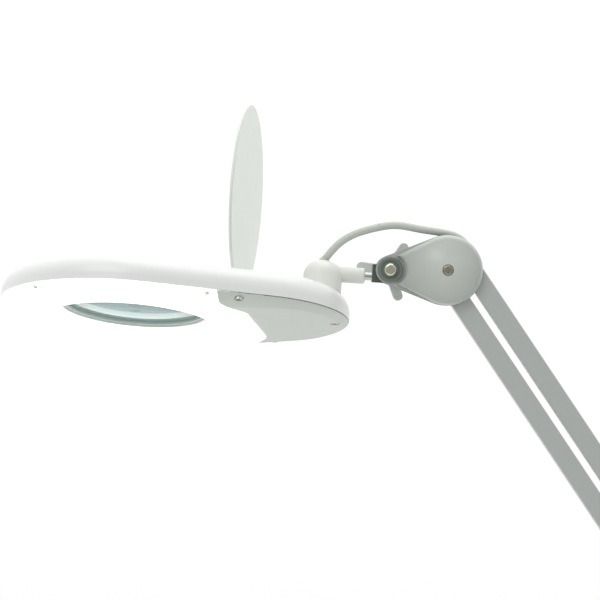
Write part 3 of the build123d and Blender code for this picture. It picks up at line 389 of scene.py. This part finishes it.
nickel = material("nickel_plate", lin(206, 206, 186), rough=0.2, metal=1.0, grain=0.1, grain_size=0.0005, mottle=0.06,
                  mottle_size=0.004, stretch=(1, 1, 3))
chrome = material("chrome", lin(192, 197, 193), rough=0.10, rough_vary=0.04, metal=1.0, grain=0.03, grain_size=0.0005,
                  mottle=0.02)
dark = material("dark_block", lin(76, 83, 77), rough=0.46, grain=0.25, grain_size=0.0006, mottle=0.06, mottle_size=0.01)
rubber = material("black_rubber", lin(92, 101, 94), rough=0.5, grain=0.35, grain_size=0.0007, mottle=0.08,
                  mottle_size=0.01)
washer = material("washer_plastic", lin(108, 119, 111), rough=0.5, grain=0.3, grain_size=0.0007, mottle=0.06,
                  mottle_size=0.01)
# Nickel for the screws in the arm end's covers, its tone darkened part way towards the shade in the screws' recessed
# centres: real nickel with painted recess shade.
nickel_painted_recess_shade = material("nickel_painted_recess_shade", lin(168, 167, 146), rough=0.24, metal=1.0, grain=0.12, grain_size=0.0005,
                       mottle=0.08, mottle_size=0.004)
grey_plastic = material("grey_plastic", lin(210, 216, 211), rough=0.40, grain=0.22, grain_size=0.0008, mottle=0.02)
sleeve_white = material("dome_white", lin(222, 224, 218), rough=0.38, grain=0.12, grain_size=0.0009, mottle=0.015)
sheath = material("white_sheath", lin(192, 198, 190), rough=0.44, grain=0.18, grain_size=0.0009, mottle=0.03,
                  mottle_size=0.02, sheen=0.1)
white_plastic = material("white_plastic", lin(222, 225, 221), rough=0.36, grain=0.12, grain_size=0.0008, mottle=0.012)
ballast = material("ballast_steel", lin(120, 124, 122), rough=0.42, metal=1.0, grain=0.2, grain_size=0.001, mottle=0.1,
                   mottle_size=0.008)
brass_pin = material("pin_brass", lin(196, 186, 150), rough=0.24, metal=1.0, grain=0.06, grain_size=0.0005, mottle=0.04,
                     mottle_size=0.004, stretch=(1, 3, 1))

LOOKS = {
    shell: ["head_top_shell"],
    cover: ["rear_lower_cover", "cover_hinge_bracket"],
    enamel: ["lower_arm_tube", "lower_rod_tube", "upper_arm_tube", "upper_rod_tube", "base_bracket", "clamp_frame",
             "elbow_plates", "arm_end_plates"],
    end_cover: ["arm_end_cover_near", "arm_end_cover_far"],
    elbow_enamel: ["elbow_cover_near", "elbow_cover_far"],
    lid_plastic: ["lens_cover"],
    lens_seat: ["lens_ring"],
    opal: ["diffuser"],
    glass: ["lens"],
    tube_glass: ["circular_tube"],
    pan_paint: ["reflector_pan"],
    zinc: ["base_pins", "elbow_pins", "arm_end_pins", "lower_arm_spring", "upper_arm_spring", "clamp_screw",
           "tommy_bar", "tube_clips", "mounting_pin"],
    nickel: ["elbow_screws", "tilt_bolt", "rear_cover_screws", "diffuser_screws",
             "cover_hinge_pin"],
    chrome: ["tilt_pin", "swivel_stud"],
    dark: ["tilt_block"],
    nickel_painted_recess_shade: ["arm_end_screws"],
    washer: ["friction_washer"],
    rubber: ["jaw_pad", "pressure_foot", "switch_bezel"],
    grey_plastic: ["tilt_knob"],
    sleeve_white: ["swivel_dome"],
    sheath: ["elbow_lead", "upper_arm_lead", "lower_arm_lead", "lead_grommet", "base_gland"],
    white_plastic: ["tube_socket", "rocker_switch", "clamp_bush"],
    ballast: ["ballast"],
}
for look, names in LOOKS.items():
    for n in names:
        nodes[n].data.materials.clear()
        nodes[n].data.materials.append(look)
for obj, look in ((lead_to_head, sheath), (lead_to_arm, sheath), (mains, sheath), (base_relief, sheath),
                  (plug_relief, sheath), (plug_body, white_plastic), (plug_pins, brass_pin)):
    obj.data.materials.append(look)


# ---------------------------------------------------------------- stage and light
def slab(name, lo, hi, look):
    """A box between two corners with its edges broken."""
    x0, y0, z0 = lo
    x1, y1, z1 = hi
    verts = [(x, y, z) for z in (z0, z1) for x, y in ((x0, y0), (x1, y0), (x1, y1), (x0, y1))]
    faces = [(0, 3, 2, 1), (4, 5, 6, 7), (0, 1, 5, 4), (1, 2, 6, 5), (2, 3, 7, 6), (3, 0, 4, 7)]
    obj = add_mesh(name, verts, faces, smooth=False)
    bevel = obj.modifiers.new("edge", "BEVEL")
    bevel.width = 0.002
    bevel.segments = 3
    obj.data.materials.append(look)
    return obj


table_look = material("table_top", lin(232, 232, 229), rough=0.5, grain=0.1, grain_size=0.002, mottle=0.01)
floor_look = material("floor", lin(236, 236, 234), rough=0.7, mottle=0.006, mottle_size=0.4)
table = slab("stage_table", (-0.62, -0.34, -0.030), (0.012, 0.36, 0.0), table_look)
floor = slab("stage_floor", (-2.2, -2.2, -0.36), (2.2, 1.7, -0.35), floor_look)

world = bpy.data.worlds.new("studio")
bpy.context.scene.world = world
world.use_nodes = True
wt = world.node_tree
background = wt.nodes["Background"]
where = wt.nodes.new("ShaderNodeTexCoord")
split = wt.nodes.new("ShaderNodeSeparateXYZ")
wt.links.new(where.outputs["Generated"], split.inputs["Vector"])


def sky_ramp(axis, start, end, low, high):
    """Brightness that rises from low to high between two heights along an axis of the world."""
    ramp = wt.nodes.new("ShaderNodeMapRange")
    ramp.inputs["From Min"].default_value = start
    ramp.inputs["From Max"].default_value = end
    ramp.inputs["To Min"].default_value = low
    ramp.inputs["To Max"].default_value = high
    wt.links.new(split.outputs[axis], ramp.inputs["Value"])
    return ramp


# Bright behind the object and above it, dim behind the camera, so that bright edges turn to grey at the front.
depth_ramp = sky_ramp("Y", -0.9, 0.35, 0.12, 0.72)
height_ramp = sky_ramp("Z", -1.0, 0.9, 0.0, 0.62)
total = wt.nodes.new("ShaderNodeMath")
total.operation = "ADD"
wt.links.new(depth_ramp.outputs["Result"], total.inputs[0])
wt.links.new(height_ramp.outputs["Result"], total.inputs[1])
wt.links.new(total.outputs["Value"], background.inputs["Strength"])
background.inputs["Color"].default_value = (1.0, 1.0, 1.0, 1.0)


def soft_light(name, at, towards, size, power):
    """A rectangular studio light, size in metres and power in watts."""
    data = bpy.data.lights.new(name, "AREA")
    data.shape = "RECTANGLE"
    data.size, data.size_y = size
    data.energy = power
    obj = bpy.data.objects.new(name, data)
    obj.location = at
    obj.rotation_euler = (Vector(towards) - Vector(at)).to_track_quat("-Z", "Y").to_euler()
    bpy.context.scene.collection.objects.link(obj)
    return obj


soft_light("key", (-0.9, -1.3, 2.1), (-0.15, 0, 0.8), (1.1, 0.9), 8)
soft_light("top", (0.1, 0.1, 2.3), (-0.1, 0, 0.8), (1.2, 1.2), 6)


# ---------------------------------------------------------------- bodies
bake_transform(lead_to_head)
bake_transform(lead_to_arm)
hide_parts("head_lead")
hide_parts("head_lead")
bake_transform(mains)
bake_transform(base_relief)
for obj in (plug_relief, plug_body, plug_pins):
    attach(obj, "clamp")
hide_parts("mains_lead", "mains_coil", "mains_tail")
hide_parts("mains_plug")
